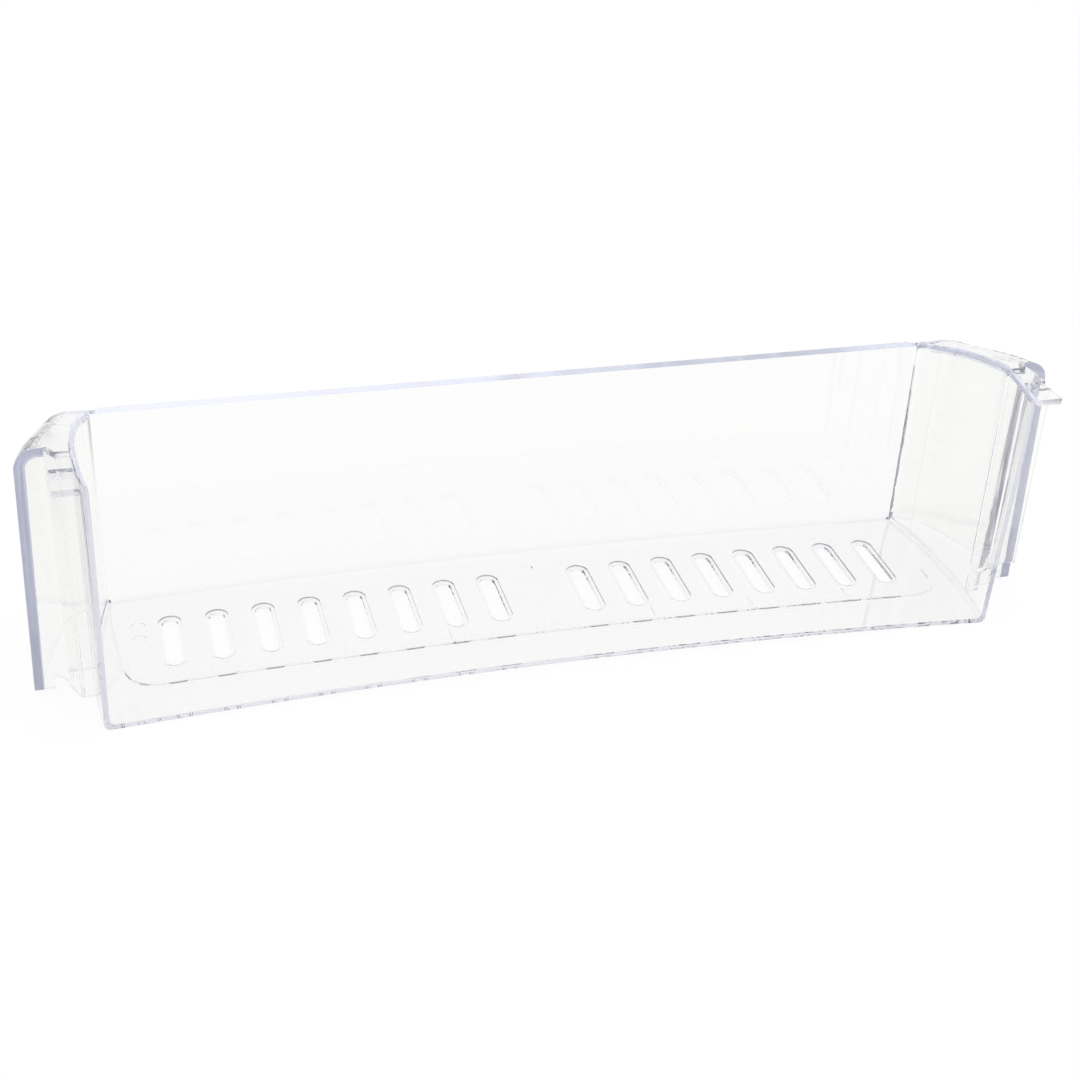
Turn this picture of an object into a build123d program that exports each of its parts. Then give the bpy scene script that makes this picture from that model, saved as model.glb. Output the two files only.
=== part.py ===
"""Clear refrigerator door shelf: one injection moulding with a hollow hook at each end.

X runs along the shelf, Y from the door side (back) to the front wall and Z up.
The origin is under the middle of the shelf, on the surface that it stands on.
All sizes are in millimetres.
"""
import math
import os

from build123d import *

# Tray
DEPTH = 106.5             # end walls' back edge to the front wall's outer face
WALL = 2.5                # every moulded wall, the floor included
FRONT_HEIGHT = 105.5      # underside of the floor's ends to the front rim
CORNER_X = 204.0          # inner face of the end wall where it meets the front wall
BULGE_X = 211.8           # the same face at its widest
BULGE_Y = 47.0            # from the back edge to that widest place
BACK_X = 208.2            # the same face at the back edge
FLOOR_RISE = 5.0          # the floor is arched by this much at mid length
FLOOR_ROUND = 3.0         # outer radius where the floor turns up into the end walls
FLOOR_INNER_ROUND = 2.5   # the same on the inside
FLOOR_BACK_Y = 6.3        # end walls' back edge to the floor's back edge, at the ends
FLOOR_BACK_BOW = 1.9      # the floor's back edge lies this much further in at mid length
SLANT_TOP = 100.0         # below this height the end walls' back edge slants in to the floor's
RIM_ROUND = 2.3           # rounded inner edge of the end walls' rim
RIM_DROP = 1.6            # the front wall's rim slopes down to the inside by this much
RIM_LAND = 0.2            # level strip left along its outer edge

# Rim of the end walls, rising from the front wall to the hook
RIM_MID_Y = 66.5          # from the back edge
RIM_MID_HEIGHT = 118.0
RIM_BACK_Y = 32.0         # where the rise ends
RIM_BLEND = 60.0          # radius that eases the rise into the level hook
HOOK_HEIGHT = 126.4       # top of the hook, above the standing surface

# Wings: the outer walls and roof that make each end hollow
WING_START_X = 200.0      # where the front wall's outer face begins to turn
WING_CORNER_RADIUS = 30.0
WING_CORNER_TURN = 67.0   # degrees
WING_BACK_X = 240.5       # outer face at the wing's back end, at the foot
WING_BACK_Y = 37.0        # from the back edge
WING_FOOT = 3.4           # the wing's lower edge, above the standing surface
WING_WALL = 3.4           # outer wall and roof of the wing
ROOF_DROP = 0.6           # the roof lies this much below the end wall's rim
WING_LEAN = 1.6           # degrees that the outer wall leans in
WING_TOP_ROUND = 10.0     # between outer wall and roof, at the back
RIM_EDGE_ROUND = 1.0      # the same edge along the front rim
WING_GROWTH = 50.0        # length along the wing over which lean and rounding grow
WING_STATIONS = 12        # sections that the wing is lofted through

# Hook: the channel that drops over a boss on the door
FOLD_X = 224.7            # the wing's back wall bends here
CHANNEL_WALL_X = 220.0    # and ends its slant here
CHANNEL_WALL_Y = 27.4     # from the back edge to the channel's front wall
LEDGE_END_X = 222.5       # outer edge of the ledge at its back end
LEDGE_UNDERSIDE = 123.4   # rests on the boss
LEDGE_STEP = 1.8          # height of each tread's riser
LEDGE_OVERHANG = 2.0      # behind the end walls' back edge
LEDGE_TREADS_Y = (31.5, 15.5)  # back edge to the risers
FLANGE_Y = 9.5            # back edge to the flange's back face
FLANGE_X = 223.6
FLANGE_FOOT = 30.8
NOTCH_RADIUS = 6.1        # quarter-round relief beside the fold

# Drain slots
SLOTS_PER_GROUP = 8
SLOT_PITCH = 22.0
SLOT_MIDDLE_GAP = 46.2    # centre to centre of the two middle slots
SLOT_WIDTH = 7.6
SLOT_LENGTH = 37.5
SLOT_Y = 63.8             # from the back edge to the slots' centres
SLOT_LAND = 1.7           # sunk strip round each slot
SLOT_LAND_DEPTH = 0.8

# Rib behind the slots, with marks on it
RIB_WIDTH = 2.2
RIB_HEIGHT = 1.6
RIB_Y = 30.7
RIB_END_X = 199.5
RIB_LEG_Y = 52.0          # its ends turn forward as far as this
RIB_CORNER = 15.0
MARKS = 7
MARK_PITCH = 50.0
MARK_LENGTH = 10.5
MARK_WIDTH = 1.1
MARK_HEIGHT = 0.6

# Round marks on the floor: the gate, and two plain discs beside the left slots
GATE_Y = 86.0
GATE_RADIUS = 2.1
GATE_DEPTH = 0.6
DISC_X = -191.9
DISC_PLACES_Y = (67.8, 78.7)
DISC_RADIUS = 3.5
DISC_DEPTH = 0.3

OVERSHOOT = 20.0          # how far cutting shapes run past what they cut

y_back = -DEPTH / 2
y_front = DEPTH / 2
y_front_inner = y_front - WALL
floor_ends = WALL         # height of the floor's top where the arch meets the end walls
half_span = CORNER_X


def from_back(distance):
    """Y of a place given as a distance from the back edge."""
    return y_back + distance


def floor_top(x):
    """Height of the arched floor's upper face."""
    return floor_ends + FLOOR_RISE * (1 - (x / half_span) ** 2)


def end_face(offset=0.0):
    """Plan curve of the end wall's inner face, or of a face that lies outside it."""
    return ThreePointArc(
        (BACK_X + offset, y_back),
        (BULGE_X + offset, from_back(BULGE_Y)),
        (CORNER_X + offset, y_front_inner),
    )


def inside_end(offset=0.0):
    """Plan of the right half of the tray, out to the end wall's face."""
    edge = end_face(offset)
    rest = Polyline(edge @ 1, (0, y_front_inner), (0, y_back), edge @ 0)
    return make_face([edge, rest])


def arch_band(lowest, highest):
    """Solid that follows the floor's arch, between two heights above its upper face."""
    reach = half_span + OVERSHOOT
    lines = []
    for height in (lowest, highest):
        ends = floor_top(reach) + height
        crown = floor_top(0) + height
        lines.append(ThreePointArc((-reach, ends), (0, crown), (reach, ends)))
    sides = [Line(lines[0] @ side, lines[1] @ side) for side in (0, 1)]
    profile = Plane.XZ * make_face(lines + sides)
    return extrude(profile, DEPTH, both=True)


def upright(plan, bottom, top):
    """A plan raised between two heights."""
    return extrude(Pos(0, 0, bottom) * plan, top - bottom)


def column(plan):
    """A plan raised through the whole height of the shelf and past it."""
    return upright(plan, -2 * OVERSHOOT, HOOK_HEIGHT + 2 * OVERSHOOT)


def rim_line():
    """Side view of the end wall's upper edge, from the front wall to the top of its rise."""
    return ThreePointArc(
        (y_front_inner, FRONT_HEIGHT),
        (from_back(RIM_MID_Y), RIM_MID_HEIGHT),
        (from_back(RIM_BACK_Y), HOOK_HEIGHT),
    )


def rim_height(y):
    """Height of that edge at a place along it."""
    arc = rim_line()
    rise = math.sqrt(arc.radius**2 - (y - arc.arc_center.X) ** 2)
    return min(arc.arc_center.Y + rise, HOOK_HEIGHT)


def end_wall():
    """The tray's right end wall, with its rounded rim, up to the hook's top."""
    rim = rim_line()
    rest = Polyline(
        rim @ 1, (y_back, HOOK_HEIGHT), (y_back, -OVERSHOOT), (y_front_inner, -OVERSHOOT), rim @ 0,
    )
    side = make_face([rim, rest])
    crest = side.vertices().sort_by_distance(rim @ 1)[0]
    side = Plane.YZ * fillet(crest, RIM_BLEND)
    plan = inside_end(WALL) - inside_end()
    wall = upright(plan, -OVERSHOOT, HOOK_HEIGHT + OVERSHOOT) & extrude(side, WING_BACK_X)
    inner = wall.faces().sort_by_distance((0, 0, FRONT_HEIGHT / 2))[0]
    rim_edges = [edge for edge in inner.edges() if edge.bounding_box().min.Z > FRONT_HEIGHT / 2]
    return fillet(rim_edges, RIM_ROUND) - below_floor


def wing_outline():
    """Plan of the wing's outer face, run on past both its ends."""
    turn = math.radians(WING_CORNER_TURN)
    start = Vector(WING_START_X, y_front)
    run_up = Line(start - Vector(OVERSHOOT, 0), start)
    corner_end = start + Vector(math.sin(turn), math.cos(turn) - 1) * WING_CORNER_RADIUS
    corner = TangentArc(start, corner_end, tangent=(1, 0))
    side = TangentArc(corner_end, (WING_BACK_X, from_back(WING_BACK_Y)), tangent=corner % 1)
    tail = Line(side @ 1, side @ 1 + (side % 1) * OVERSHOOT)
    return Wire([run_up, corner, side, tail])


def wing_section(outline, place, inset):
    """Section across the wing at a place along its outline, or of the hollow that lies inside it."""
    foot = outline @ place
    inward = (outline % place).rotate(Axis.Z, -90)
    across = Line(foot, foot + inward * DEPTH)
    hits = across.intersect(end_face(WALL))
    inner_y = hits.sort_by_distance(foot)[0].center().Y if hits else y_front_inner
    travel = max(0.0, place * outline.length - OVERSHOOT)
    roof = rim_height(min(inner_y, y_front_inner)) - ROOF_DROP * min(1.0, travel / (2 * WALL))
    reach = 3 * WALL + travel / 3
    share = min(1.0, travel / WING_GROWTH)
    lean = math.tan(math.radians(WING_LEAN)) * share
    rounding = RIM_EDGE_ROUND + (WING_TOP_ROUND - RIM_EDGE_ROUND) * share
    top = roof - inset
    bottom = -OVERSHOOT
    crest = (inset + lean * top, top)
    section = make_face(Polyline(crest, (reach, top), (reach, bottom), (inset, bottom), close=True))
    corner = section.vertices().sort_by_distance(crest)[0]
    section = fillet(corner, max(rounding - inset, RIM_EDGE_ROUND))
    plane = Plane(foot, x_dir=inward, z_dir=inward.cross(Vector(0, 0, 1)))
    return plane * section


def wing():
    """The hollow wing: outer wall, roof and the back wall that bends round the channel."""
    outline = wing_outline()
    places = [step / WING_STATIONS for step in range(WING_STATIONS + 1)]
    outside = loft([wing_section(outline, place, 0) for place in places])
    hollow = loft([wing_section(outline, place, WING_WALL) for place in places])
    far_x = WING_BACK_X + OVERSHOOT
    far_y = y_front + OVERSHOOT
    wing_y = from_back(WING_BACK_Y)
    channel_y = from_back(CHANNEL_WALL_Y)
    plan = make_face(Polyline(
        (WING_START_X, channel_y), (CHANNEL_WALL_X, channel_y), (FOLD_X, wing_y), (far_x, wing_y),
        (far_x, y_front), (WING_START_X, y_front), close=True,
    ))
    inner_plan = offset(plan, -WALL, kind=Kind.INTERSECTION)
    tray = column(inside_end(WALL))
    shell = (outside & column(plan)) - tray
    shell -= (hollow & column(inner_plan)) - tray
    corner_x = CORNER_X + WALL
    front_corner = Polyline(
        (0, y_front_inner), (corner_x, y_front_inner), (corner_x, far_y), (0, far_y), close=True,
    )
    under_wing = upright(Rectangle(2 * far_x, 2 * far_y), -OVERSHOOT, WING_FOOT)
    shell -= under_wing - column(make_face(front_corner))
    notch_plane = Plane((FOLD_X + NOTCH_RADIUS, wing_y, WING_FOOT), x_dir=(-1, 0, 0), z_dir=(0, 1, 0))
    notch = Circle(NOTCH_RADIUS) & Rectangle(NOTCH_RADIUS, 2 * NOTCH_RADIUS, align=(Align.MIN, Align.CENTER))
    return shell - below_floor - extrude(notch_plane * notch, WALL, both=True)


def ledge():
    """The hook's ledge, level below and stepped in treads above."""
    risers = [from_back(distance) for distance in LEDGE_TREADS_Y]
    corners = [(risers[0] + WALL, LEDGE_UNDERSIDE), (risers[0] + WALL, HOOK_HEIGHT - LEDGE_STEP)]
    ledge_end = y_back - LEDGE_OVERHANG
    for riser, end in zip(risers, risers[1:] + [ledge_end]):
        corners += [(riser, HOOK_HEIGHT - LEDGE_STEP), (end, HOOK_HEIGHT)]
    corners.append((ledge_end, LEDGE_UNDERSIDE))
    side = Plane.YZ * make_face(Polyline(*corners, close=True))
    return (extrude(side, WING_BACK_X) & column(ledge_plan())) - column(inside_end(WALL))


def ledge_plan():
    """Outline of the ledge, out to its slanted outer edge."""
    ledge_end = y_back - LEDGE_OVERHANG
    wing_y = from_back(WING_BACK_Y)
    inner_x = BACK_X + WALL
    return make_face(Polyline(
        (inner_x, ledge_end), (LEDGE_END_X, ledge_end), (FOLD_X, wing_y),
        (0, wing_y), (0, y_back), (inner_x, y_back), close=True,
    ))


def flange():
    """The plate that hangs from the ledge behind the door's boss."""
    back = from_back(FLANGE_Y)
    plan = make_face(Polyline(
        (0, back), (FLANGE_X, back), (FLANGE_X, back + WALL), (0, back + WALL), close=True,
    ))
    return upright(plan, FLANGE_FOOT, LEDGE_UNDERSIDE) - column(inside_end(WALL))


def hook():
    """Everything outside the right end wall."""
    first_riser = from_back(LEDGE_TREADS_Y[0])
    over_ledge = ledge_plan() & Pos(0, first_riser) * Rectangle(
        2 * WING_BACK_X, 2 * DEPTH, align=(Align.CENTER, Align.MAX),
    )
    return wing() - upright(over_ledge, LEDGE_UNDERSIDE, HOOK_HEIGHT + OVERSHOOT) + ledge() + flange()


def both_ends(right):
    """A right-hand shape and its mirror image."""
    return right + mirror(right, about=Plane.YZ)


def tray():
    """Floor and end walls, with the bends between them."""
    plan = both_ends(inside_end(WALL))
    body = (arch_band(-WALL, 0) & column(plan)) + both_ends(end_wall())
    for face_offset, radius in ((WALL, FLOOR_ROUND), (0, FLOOR_INNER_ROUND)):
        for side in (-1, 1):
            x = BULGE_X + face_offset
            place = (side * x, from_back(BULGE_Y), floor_top(x) - face_offset)
            body = fillet(body.edges().sort_by_distance(place)[0], radius)
    return body - behind_floor()


def behind_floor():
    """What is cut from the tray's back: the floor ends in a bow, and the end walls slant in to it."""
    ends_y = from_back(FLOOR_BACK_Y)
    reach = 2 * BACK_X
    bow = ThreePointArc((-BACK_X, ends_y), (0, ends_y + FLOOR_BACK_BOW), (BACK_X, ends_y))
    rest = Polyline(bow @ 1, (BACK_X, 2 * y_back), (-BACK_X, 2 * y_back), bow @ 0)
    between = make_face([bow, rest]) & both_ends(inside_end())
    slant = make_face(Polyline(
        (y_back, SLANT_TOP), (ends_y, FLOOR_ROUND + WALL), (ends_y, -OVERSHOOT),
        (2 * y_back, -OVERSHOOT), (2 * y_back, SLANT_TOP), close=True,
    ))
    return upright(between, -OVERSHOOT, FRONT_HEIGHT) + extrude(Plane.YZ * slant, reach, both=True)


def front_wall():
    """The straight run of the front wall, before its rim is sloped."""
    plan = Pos(0, y_front_inner + WALL / 2) * Rectangle(2 * WING_START_X, WALL)
    return upright(plan, -OVERSHOOT, FRONT_HEIGHT) - below_floor


def rim_slope():
    """What is cut from the top of the front wall, so that its rim slopes down to the inside."""
    outer_y = y_front - RIM_LAND
    inner_y = y_front_inner - WALL
    fall = RIM_DROP / (WALL - RIM_LAND)
    high = FRONT_HEIGHT + OVERSHOOT
    low = FRONT_HEIGHT - fall * (outer_y - inner_y)
    profile = make_face(Polyline(
        (inner_y, low), (outer_y, FRONT_HEIGHT), (outer_y, high), (inner_y, high), close=True,
    ))
    return extrude(Plane.YZ * profile, CORNER_X, both=True)


def on_floor(x, distance):
    """Frame on the floor's upper face, square to its arch."""
    slope = math.degrees(math.atan(2 * FLOOR_RISE * x / half_span**2))
    return Pos(x, from_back(distance), floor_top(x)) * Rot(0, slope, 0)


def slot_places():
    """X of every slot's centre: two groups, mirrored."""
    right = [SLOT_MIDDLE_GAP / 2 + step * SLOT_PITCH for step in range(SLOTS_PER_GROUP)]
    return [-x for x in right] + right


def slot_cutter():
    """One drain slot with the sunk strip round it."""
    hole = SlotOverall(SLOT_LENGTH, SLOT_WIDTH, rotation=90)
    land = offset(hole, SLOT_LAND)
    return extrude(hole, 2 * WALL, both=True) + upright(land, -SLOT_LAND_DEPTH, WALL)


def rib():
    """The low rib behind the slots and the marks along it."""
    leg_y = from_back(RIB_LEG_Y)
    line_y = from_back(RIB_Y)
    turns = [(-RIB_END_X, leg_y), (-RIB_END_X, line_y), (RIB_END_X, line_y), (RIB_END_X, leg_y)]
    path = FilletPolyline(*turns, radius=RIB_CORNER)
    strip = trace(path, RIB_WIDTH)
    mark = Rectangle(MARK_WIDTH, MARK_LENGTH, align=(Align.CENTER, Align.MIN))
    first_x = -(MARKS - 1) / 2 * MARK_PITCH
    marks = Sketch() + [Pos(first_x + step * MARK_PITCH, line_y) * mark for step in range(MARKS)]
    body = column(strip) & arch_band(-WALL / 2, RIB_HEIGHT)
    return body + (column(marks) & arch_band(-WALL / 2, MARK_HEIGHT))


below_floor = arch_band(-WALL - 2 * OVERSHOOT, -WALL)

shelf = tray() + front_wall() + both_ends(hook()) - rim_slope() + rib()
slot = slot_cutter()
shelf -= [on_floor(x, SLOT_Y) * slot for x in slot_places()]
shelf -= on_floor(0, GATE_Y) * Cylinder(GATE_RADIUS, 2 * GATE_DEPTH)
shelf -= [on_floor(DISC_X, distance) * Cylinder(DISC_RADIUS, 2 * DISC_DEPTH) for distance in DISC_PLACES_Y]

box = shelf.bounding_box()
shelf = Pos(0, -box.center().Y, -box.min.Z) * shelf

os.makedirs("parts", exist_ok=True)
export_step(shelf, "parts/door_shelf.step")
print("door_shelf", len(shelf.solids()), "solid", round(shelf.volume), "mm3", box.size)
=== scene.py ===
# %% [markdown]
# A clear refrigerator door shelf, moulded in one piece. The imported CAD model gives
# its form and its size, so nothing here moves or resizes it. This script gives the
# moulding its clear plastic, and sets it on a plain white floor.
# %% load the frame
import math

import bmesh
import bpy
from mathutils import Matrix, Vector


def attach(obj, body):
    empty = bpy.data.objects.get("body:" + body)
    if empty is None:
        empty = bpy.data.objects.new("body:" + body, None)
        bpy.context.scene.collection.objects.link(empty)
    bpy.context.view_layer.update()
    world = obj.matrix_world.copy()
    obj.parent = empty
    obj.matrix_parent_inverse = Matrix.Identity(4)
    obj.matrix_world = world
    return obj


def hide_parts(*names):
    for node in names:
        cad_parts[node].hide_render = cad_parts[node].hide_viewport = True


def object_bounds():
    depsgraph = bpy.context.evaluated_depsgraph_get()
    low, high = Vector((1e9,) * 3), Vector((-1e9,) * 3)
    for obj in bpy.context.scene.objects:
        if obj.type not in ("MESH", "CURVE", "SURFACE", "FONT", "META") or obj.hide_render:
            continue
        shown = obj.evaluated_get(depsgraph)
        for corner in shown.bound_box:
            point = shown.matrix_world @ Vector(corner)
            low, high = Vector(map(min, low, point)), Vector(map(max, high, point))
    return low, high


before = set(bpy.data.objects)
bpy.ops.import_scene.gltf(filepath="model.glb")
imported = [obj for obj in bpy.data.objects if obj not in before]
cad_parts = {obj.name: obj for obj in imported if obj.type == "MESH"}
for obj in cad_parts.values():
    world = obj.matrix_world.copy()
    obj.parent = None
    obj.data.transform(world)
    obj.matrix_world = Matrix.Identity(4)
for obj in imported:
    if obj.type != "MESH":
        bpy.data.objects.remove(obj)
cad_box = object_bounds()
print("CAD box", cad_box)

# %% [markdown]
# Three small helpers. Colours are picked as sRGB hex and turned to linear once.
# One function adds a shader node with its settings and links, which keeps the
# materials short. The last one starts a material with no nodes, so that each node in
# it is one that a cell below adds.
# %% helpers
def linear(code):
    """An sRGB hex colour as a linear RGBA tuple."""
    parts = [int(code[i:i + 2], 16) / 255 for i in (0, 2, 4)]
    curve = [c / 12.92 if c <= 0.04045 else ((c + 0.055) / 1.055) ** 2.4 for c in parts]
    return (*curve, 1.0)


def add(tree, kind, settings=(), values=(), links=()):
    """Adds a shader node: attributes, socket values, and links from (node, socket).

    A socket is given by its name, or by its number where a node has several of one name.
    """
    node = tree.nodes.new(kind)
    for name, value in dict(settings).items():
        setattr(node, name, value)
    for name, value in dict(values).items():
        node.inputs[name].default_value = value
    for name, (source, socket) in dict(links).items():
        tree.links.new(source.outputs[socket], node.inputs[name])
    return node


def empty_material(name):
    """A new node material with nothing in it."""
    material = bpy.data.materials.new(name)
    material.use_nodes = True
    material.node_tree.nodes.clear()
    return material


print("mid grey is", round(linear("808080")[0], 3), "in linear light")

# %% [markdown]
# Clear moulded polystyrene bends light with an index of 1.59. Its walls are almost colourless when
# one looks straight through them, and lilac where one looks along them: that is absorption, which
# grows with the way that light travels inside. Where that led light shows at the rims, back edges
# and the wings' bands, it is painted light: those faces get a painted milky lilac base. The steps
# of the slots get a painted grey base, which is a painted shade for their dark outlines. Two face
# attributes of the moulding say where.
# %% clear polystyrene
SLOT_PAINTED_SHADE = 0.5     # how much the slots' steps lose clearness for their painted shade, beside 1 for a wing's painted band
EDGE_CLEAR = 0.25   # share of the light that a wing's painted band lets through

plastic = empty_material("clear_moulded_polystyrene")
tree = plastic.node_tree
place = add(tree, "ShaderNodeTexCoord")
edge = add(tree, "ShaderNodeAttribute", {"attribute_name": "edge_light_and_dullness"})
slot = add(tree, "ShaderNodeAttribute", {"attribute_name": "slot_painted_shade"})
# Painted light and shade: the lilac mix paints the edges' led light, the grey mix paints the slots'
# dark outlines, and both kinds of face let less light through.
lilac = add(tree, "ShaderNodeMixRGB",
            values={"Color1": linear("FCFCFB"), "Color2": linear("E8EBFF")},
            links={"Fac": (edge, "Fac")})
shade = add(tree, "ShaderNodeMixRGB", values={"Color2": linear("A0A2AA")},
            links={"Fac": (slot, "Fac"), "Color1": (lilac, "Color")})
painted_share = add(tree, "ShaderNodeMath", {"operation": "MULTIPLY_ADD"}, {1: SLOT_PAINTED_SHADE},
            {0: (slot, "Fac"), 2: (edge, "Fac")})
clear = add(tree, "ShaderNodeMapRange", values={"To Min": 1.0, "To Max": EDGE_CLEAR},
            links={"Value": (painted_share, "Value")})
print("edges let through", EDGE_CLEAR, "to 1 of the light")

# %% [markdown]
# A mould's polish is never perfect. A faint ripple, some 35 mm wide, stands for the
# flow of the plastic, and patches of 4 mm are a touch less glossy than the rest. The
# bare edges are the dullest. The absorption's colour and density are constants, set so
# that a wall of 2.5 mm stays clear and the length of a wall turns lilac.
# %% polish
RIPPLE = 0.035      # metres
HAZE = 0.004        # metres
EDGE_DULL = 0.15    # roughness that a bare edge has on top of the polish

ripple = add(tree, "ShaderNodeTexNoise",
             values={"Scale": 1 / RIPPLE, "Detail": 2.0, "Roughness": 0.4},
             links={"Vector": (place, "Object")})
bump = add(tree, "ShaderNodeBump", values={"Strength": 0.06, "Distance": 0.001},
           links={"Height": (ripple, "Fac")})
haze = add(tree, "ShaderNodeTexNoise",
           values={"Scale": 1 / HAZE, "Detail": 5.0, "Roughness": 0.7},
           links={"Vector": (place, "Object")})
gloss = add(tree, "ShaderNodeMapRange",
            values={"From Min": 0.45, "From Max": 0.75, "To Min": 0.012, "To Max": 0.05},
            links={"Value": (haze, "Fac")})
rough = add(tree, "ShaderNodeMath", {"operation": "MULTIPLY_ADD"}, {1: EDGE_DULL},
            {0: (edge, "Fac"), 2: (gloss, "Result")})
body = add(tree, "ShaderNodeBsdfPrincipled", values={"IOR": 1.59}, links={
    "Base Color": (shade, "Color"), "Transmission Weight": (clear, "Result"),
    "Roughness": (rough, "Value"), "Normal": (bump, "Normal"),
})
tint = add(tree, "ShaderNodeVolumeAbsorption",
           values={"Color": (0.30, 0.34, 0.60, 1.0), "Density": 1.8})
add(tree, "ShaderNodeOutputMaterial", links={"Surface": (body, "BSDF"), "Volume": (tint, "Volume")})
print("material", plastic.name, len(tree.nodes), "nodes")

# %% [markdown]
# The CAD mesh is loose triangles, which would show as facets inside a clear wall. A
# copy of it is merged, rid of slivers with no width, and shaded smooth, with the real
# edges kept sharp. The form stays as the CAD has it, so the copy can stand in for the
# moulding.
# %% moulding
MERGE = 2e-6                 # metres
SLIVER = 1e-5
SHARP = math.radians(24)     # a real edge turns by more than this

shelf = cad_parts["door_shelf"]
bm = bmesh.new()
bm.from_mesh(shelf.data)
bm.transform(shelf.matrix_world)
bmesh.ops.remove_doubles(bm, verts=bm.verts, dist=MERGE)
bmesh.ops.dissolve_degenerate(bm, dist=SLIVER, edges=bm.edges)
sharp = [e for e in bm.edges if len(e.link_faces) != 2 or e.calc_face_angle() > SHARP]
for face in bm.faces:
    face.smooth = True
for line in sharp:
    line.smooth = False
open_edges = sum(not e.is_manifold for e in bm.edges)
print("moulding", len(bm.faces), "faces,", len(sharp), "sharp,", open_edges, "open edges")

# %% [markdown]
# Seen from behind, each wing shows its outer wall and roof end-on, as a lilac band along the edge
# of its flat back wall. That band is painted light: the back wall gets a painted milky lilac there,
# which stands in for the light led along the outer wall and roof. The back wall is one flat face,
# so it is cut along the inner edge of that band. The cuts lie in the face and leave its form alone.
# %% wing bands
WING_BACK = -0.01525     # Y of the wings' back walls, in metres
WING_INNER = 0.2245      # metres from the middle, where the back walls begin
ON_WALL = 5e-4           # how near a face lies to the plane that it is part of
WING_BAND = 0.0042       # width of the band
WING_TOP_ROUND = 0.010   # outer radius between wall and roof
WING_LEAN = math.radians(1.6)
CUTS = (WING_LEAN, math.radians(30), math.radians(60), math.radians(90))


def back_walls():
    """The faces of both wings' back walls."""
    found = []
    for face in bm.faces:
        middle = face.calc_center_median()
        on_wall = face.normal.y < -0.99 and abs(middle.y - WING_BACK) < ON_WALL
        if on_wall and abs(middle.x) > WING_INNER:
            found.append(face)
    return found


wing_top = max(v.co.z for f in back_walls() for v in f.verts)
wing_side = cad_box[1][0]


def depth_in_wing(x, z):
    """How far a place on a back wall lies inside the wing's outline."""
    side = wing_side - math.tan(WING_LEAN) * z - abs(x)
    roof = wing_top - z
    if max(side, roof) > WING_TOP_ROUND:
        return min(side, roof)
    return WING_TOP_ROUND - math.hypot(WING_TOP_ROUND - side, WING_TOP_ROUND - roof)


centre_z = wing_top - WING_TOP_ROUND
centre_x = wing_side - math.tan(WING_LEAN) * centre_z - WING_TOP_ROUND
for side in (-1, 1):
    for angle in CUTS:
        outward = Vector((side * math.cos(angle), 0, math.sin(angle)))
        start = Vector((side * centre_x, 0, centre_z)) + outward * (WING_TOP_ROUND - WING_BAND)
        walls = [f for f in back_walls() if f.calc_center_median().x * side > 0]
        pieces = set(walls).union(*(f.edges for f in walls), *(f.verts for f in walls))
        bmesh.ops.bisect_plane(bm, geom=list(pieces), dist=1e-6, plane_co=start, plane_no=outward)
bm.normal_update()
print("wing back walls", len(back_walls()), "faces, top at", round(wing_top, 4))

# %% [markdown]
# Where the other bare edges are follows from which way a face looks and where it lies. The front
# rim slopes to the inside, the end walls' rims are rounded to it, and the back edges look straight
# back. Each gets a share of painted light, the milky lilac that stands in for light led along the
# walls, and how much each gets was matched.
# %% bare edges
FRONT_RIM_Y = 0.045            # the front rim lies beyond this, in metres
FRONT_RIM_X = 0.205            # and ends this far from the middle
RIM = 0.104                    # lowest height of the end walls' rims
RIM_WIDTH = 0.0026             # how far those rims reach out from the walls' inner faces
END_WALL = (0.2075, 0.2108)    # from the middle, where the end walls end at the back
BACK_EDGE = -0.04              # the upright back edges lie behind this
LEDGE = 0.122                  # height of the hooks' ledges
FLOOR_ENDS = 0.0029            # height of the floor's upper face at its ends
FLOOR_RISE = 0.005             # and how far it arches above them at mid length
# painted light that each kind of edge gets, where a wing's band gets 1
RIM_PAINTED_LIGHT = 0.8
LEDGE_PAINTED_LIGHT = 0.4
WALL_PAINTED_LIGHT = 0.45
FLOOR_PAINTED_LIGHT = 0.2
LEANS = 0.15                   # part of a normal from which a face leans that way
LOOKS_BACK = -0.8


def inner_face(y):
    """X of the curved end walls' inner faces, as a parabola through three of their points."""
    return 0.21164 - 0.0414 * y - 2.0523 * y * y


def edge_share(face):
    """How much painted light a face gets: 1 on a wing's band, less on rims and back edges, 0 on
    clear faces.
    """
    x, y, z = face.calc_center_median()
    normal = face.normal
    inward = -normal.x * math.copysign(1, x)
    on_end_wall = abs(x) < inner_face(y) + RIM_WIDTH
    if y > FRONT_RIM_Y and abs(x) < FRONT_RIM_X and normal.y < -0.3 and normal.z > 0.5:
        return RIM_PAINTED_LIGHT
    if z > RIM and inward > LEANS and normal.z > LEANS and on_end_wall:
        return RIM_PAINTED_LIGHT
    if normal.y > LOOKS_BACK or y > 0:
        return 0.0
    if abs(y - WING_BACK) < ON_WALL and abs(x) > WING_INNER:
        return float(depth_in_wing(x, z) < WING_BAND)
    if z > LEDGE and abs(x) > END_WALL[1]:
        return LEDGE_PAINTED_LIGHT
    if y < BACK_EDGE and END_WALL[0] < abs(x) < END_WALL[1]:
        return WALL_PAINTED_LIGHT
    return FLOOR_PAINTED_LIGHT * (y < BACK_EDGE and z < FLOOR_ENDS + FLOOR_RISE)


edge_light_and_dullness = bm.faces.layers.float.new("edge_light_and_dullness")
for face in bm.faces:
    face[edge_light_and_dullness] = edge_share(face)
print("bare edges", sum(f[edge_light_and_dullness] > 0 for f in bm.faces), "faces")

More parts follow.
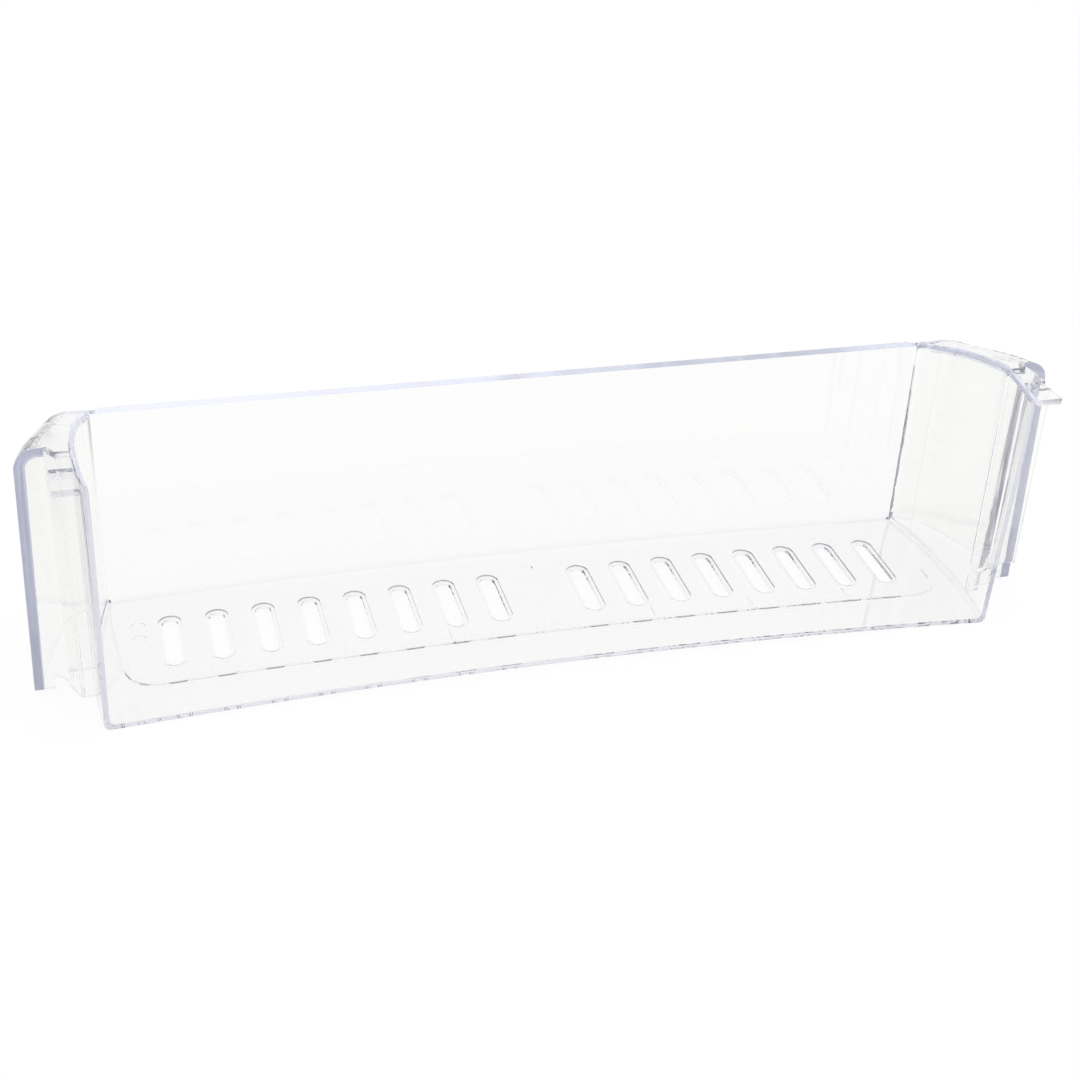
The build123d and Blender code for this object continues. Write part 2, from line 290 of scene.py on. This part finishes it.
# %% [markdown]
# Round each drain slot runs a low step that stands upright in the floor. It gets a number of its
# own, which gives it a painted shade: a grey, less clear base that draws the slot's dark outline.
# The walls of the slots below it stay clear: given the same painted base, they would show as dark
# dashes in the back edge of the floor.
# %% slot steps
SLOT_ROW = (-0.0095, 0.0325)   # along Y, in metres
SLOT_REACH = (0.015, 0.190)    # metres from the middle
FLOOR_HALF = 0.204             # half the length that the floor's arch spans
STEP = (-0.001, 0.0002)        # lowest and highest place of a step, from the floor's face
UPRIGHT = 0.3                  # an upright face's normal rises by less than this


def on_slot_step(face):
    """Whether a face is the low upright step round a drain slot."""
    x, y, z = face.calc_center_median()
    in_row = SLOT_ROW[0] < y < SLOT_ROW[1] and SLOT_REACH[0] < abs(x) < SLOT_REACH[1]
    floor_top = FLOOR_ENDS + FLOOR_RISE * (1 - (x / FLOOR_HALF) ** 2)
    return in_row and STEP[0] < z - floor_top < STEP[1] and abs(face.normal.z) < UPRIGHT


slot_painted_shade = bm.faces.layers.float.new("slot_painted_shade")
for face in bm.faces:
    face[slot_painted_shade] = float(on_slot_step(face))
print("slot steps", sum(f[slot_painted_shade] > 0 for f in bm.faces), "faces")

# %% [markdown]
# The finished copy takes the CAD solid's place, on the same body. It has one material,
# because light is absorbed between the faces of one closed piece.
# %% moulding in place
moulding_mesh = bpy.data.meshes.new("moulding")
bm.to_mesh(moulding_mesh)
bm.free()
moulding = bpy.data.objects.new("moulding", moulding_mesh)
bpy.context.collection.objects.link(moulding)
moulding_mesh.materials.append(plastic)
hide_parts("door_shelf")
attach(moulding, "root")
print("moulding", len(moulding_mesh.polygons), "faces")

# %% [markdown]
# Smooth shading lets narrow faces bend the wide ones beside them, and a clear wall
# shows that as waves. A Weighted Normal modifier lets the wide faces decide. It works
# on the plain walls and on the roofs. The hooks and the wings' outer walls keep plain
# smooth shading, which looks more like the real ones.
# %% even shading
PLAIN_FROM = -0.010        # Y where the hooks end and the plain walls begin
END_WALL_DEPTH = 0.0035    # a little more than the end walls' thickness
ROOF = RIM - 0.01          # the roofs lie above this
ROOF_RISE = 0.3            # and their normals rise by more than this


def on_plain_wall(point):
    """Whether a point is on the tray's walls or floor, in front of the hooks."""
    return point.y > PLAIN_FROM and abs(point.x) < inner_face(point.y) + END_WALL_DEPTH


points = moulding_mesh.vertices
near = [v.index for v in points if on_plain_wall(v.co)]
roof = [v.index for v in points if v.co.z > ROOF and v.normal.z > ROOF_RISE]
plain = moulding.vertex_groups.new(name="plain walls")
plain.add(sorted(set(near + roof)), 1.0, "REPLACE")
evening = moulding.modifiers.new("even shading", "WEIGHTED_NORMAL")
evening.keep_sharp = True
evening.mode = "FACE_AREA_WITH_ANGLE"
evening.vertex_group = plain.name
print("even shading on", len(set(near + roof)), "of", len(points), "points")

# %% [markdown]
# The stage is one white floor that fills the picture. A grid of one face is enough,
# because the white comes from its material.
# %% floor
floor_mesh = bpy.data.meshes.new("floor")
bm = bmesh.new()
bmesh.ops.create_grid(bm, x_segments=1, y_segments=1, size=4.0)
bm.to_mesh(floor_mesh)
bm.free()
floor = bpy.data.objects.new("floor", floor_mesh)
bpy.context.collection.objects.link(floor)
print("floor", floor.dimensions[:])

# %% [markdown]
# The paper shows as plain white to the eye and through the plastic, and a small share
# of it is lit, so it keeps a soft shadow. Light Path tells these rays apart. In the
# plastic the far left corner of the paper is greyer, as if it ended there, because
# clear edges show only what they mirror and bend.
# %% white paper
GLOW = 0.93                  # with the lit share it comes to white
LIT = 0.08
GREY_LEFT = (-0.40, -0.22)   # along X, in metres, where the paper turns grey
GREY_AWAY = (0.06, 0.16)     # and along Y
GREY = -0.75                 # what the greyest place loses

white = empty_material("white_paper_floor")
tree = white.node_tree
spot = add(tree, "ShaderNodeTexCoord")
axes = add(tree, "ShaderNodeSeparateXYZ", links={"Vector": (spot, "Object")})
left = add(tree, "ShaderNodeMapRange", {"interpolation_type": "SMOOTHSTEP"},
           {"From Min": GREY_LEFT[0], "From Max": GREY_LEFT[1], "To Min": GREY, "To Max": 0.0},
           {"Value": (axes, "X")})
away = add(tree, "ShaderNodeMapRange", {"interpolation_type": "SMOOTHSTEP"},
           {"From Min": GREY_AWAY[0], "From Max": GREY_AWAY[1]}, {"Value": (axes, "Y")})
paper = add(tree, "ShaderNodeMath", {"operation": "MULTIPLY_ADD"}, {2: 1.0},
            {0: (left, "Result"), 1: (away, "Result")})
paths = add(tree, "ShaderNodeLightPath")
in_plastic = add(tree, "ShaderNodeMath", {"operation": "MAXIMUM"},
                 links={0: (paths, "Is Transmission Ray"), 1: (paths, "Is Glossy Ray")})
shown = add(tree, "ShaderNodeMath", {"operation": "MULTIPLY"},
            links={0: (in_plastic, "Value"), 1: (paper, "Value")})
seen = add(tree, "ShaderNodeMath", {"operation": "MAXIMUM"},
           links={0: (shown, "Value"), 1: (paths, "Is Camera Ray")})
share = add(tree, "ShaderNodeMath", {"operation": "MULTIPLY"}, {1: GLOW}, {0: (seen, "Value")})
lit = add(tree, "ShaderNodeBsdfDiffuse", values={"Color": (LIT, LIT, LIT, 1.0)})
glow = add(tree, "ShaderNodeEmission", values={"Color": linear("FFFFFF")},
           links={"Strength": (share, "Value")})
both = add(tree, "ShaderNodeAddShader", links={0: (lit, "BSDF"), 1: (glow, "Emission")})
add(tree, "ShaderNodeOutputMaterial", links={"Surface": (both, "Shader")})
floor_mesh.materials.append(white)
print("material", white.name, len(tree.nodes), "nodes")

# %% [markdown]
# The room round the shelf is pale, and greyer on the left: clear plastic has no shade
# of its own, so the darker side of the room is what draws its edges. The eye itself
# sees a white backdrop.
# %% room
ROOM_ACROSS = (-0.9, 0.1)   # part of a direction's X, from the grey side to the pale one
MIX_A = 6                   # numbers of the Mix node's colour sockets
MIX_B = 7
MIX_RESULT = 2

world = bpy.data.worlds.new("studio")
bpy.context.scene.world = world
world.use_nodes = True
world.node_tree.nodes.clear()
tree = world.node_tree
direction = add(tree, "ShaderNodeTexCoord")
axes = add(tree, "ShaderNodeSeparateXYZ", links={"Vector": (direction, "Generated")})
across = add(tree, "ShaderNodeMapRange", {"interpolation_type": "SMOOTHSTEP"},
             {"From Min": ROOM_ACROSS[0], "From Max": ROOM_ACROSS[1]}, {"Value": (axes, "X")})
room = add(tree, "ShaderNodeMix", {"data_type": "RGBA"},
           {MIX_A: linear("A8AAB0"), MIX_B: linear("FAFAFC")}, {"Factor": (across, "Result")})
paths = add(tree, "ShaderNodeLightPath")
backdrop = add(tree, "ShaderNodeMix", {"data_type": "RGBA"}, {MIX_B: linear("FFFFFF")},
               {"Factor": (paths, "Is Camera Ray"), MIX_A: (room, MIX_RESULT)})
sky = add(tree, "ShaderNodeBackground", links={"Color": (backdrop, MIX_RESULT)})
add(tree, "ShaderNodeOutputWorld", links={"Surface": (sky, "Background")})
print("room", len(tree.nodes), "nodes")

# %% [markdown]
# Soft light comes from a large panel overhead and smaller ones at the side and in front. The front
# one only lights the edges with painted light: it is hidden from mirrored and bent rays, because
# its image in the walls would wash out the slots.
# %% light
TARGET = (0, 0, 0.05)


def panel(name, place, width, height, power):
    """A soft lamp of a given size in metres and power in watts, turned to the shelf."""
    lamp = bpy.data.lights.new(name, "AREA")
    lamp.shape = "RECTANGLE"
    lamp.size = width
    lamp.size_y = height
    lamp.energy = power
    piece = bpy.data.objects.new(name, lamp)
    piece.location = place
    piece.rotation_euler = (Vector(TARGET) - Vector(place)).to_track_quat("-Z", "Y").to_euler()
    bpy.context.collection.objects.link(piece)
    return piece


panel("overhead", (0.0, 0.1, 1.6), 1.6, 1.2, 4)
panel("side", (-1.4, -0.8, 0.9), 0.8, 0.8, 2)
fill = panel("front", (0.0, -1.6, 1.0), 1.2, 0.8, 6)
fill.visible_glossy = False
fill.visible_transmission = False
print("panels", [lamp.name for lamp in bpy.data.lights])

# %% [markdown]
# The camera stands where the photograph was taken from: to the left of the shelf's
# middle, on its open side, looking down by about 31 degrees. Its three axes were fitted
# to the photograph. Light needs many bounces, because it is led along inside the walls.
# %% camera
RIGHT = Vector((0.96506, -0.25860, 0.04220))
DOWN = Vector((-0.10121, -0.51647, -0.85026))
FORWARD = Vector((0.2416, 0.8163, -0.5246))
STAND = (-0.2101, -0.69355, 0.49106)
BOUNCES = 64

lens = bpy.data.cameras.new("camera")
lens.lens = 60.1
lens.sensor_width = 36.0
camera = bpy.data.objects.new("camera", lens)
turn = Matrix((RIGHT, -DOWN, -FORWARD)).transposed()
camera.matrix_world = Matrix.Translation(STAND) @ turn.to_4x4()
bpy.context.collection.objects.link(camera)
bpy.context.scene.camera = camera
bpy.context.scene.view_settings.view_transform = "Standard"
cycles = bpy.context.scene.cycles
cycles.max_bounces = BOUNCES
cycles.glossy_bounces = BOUNCES
cycles.transmission_bounces = BOUNCES
print("camera", [round(v, 4) for v in camera.location])
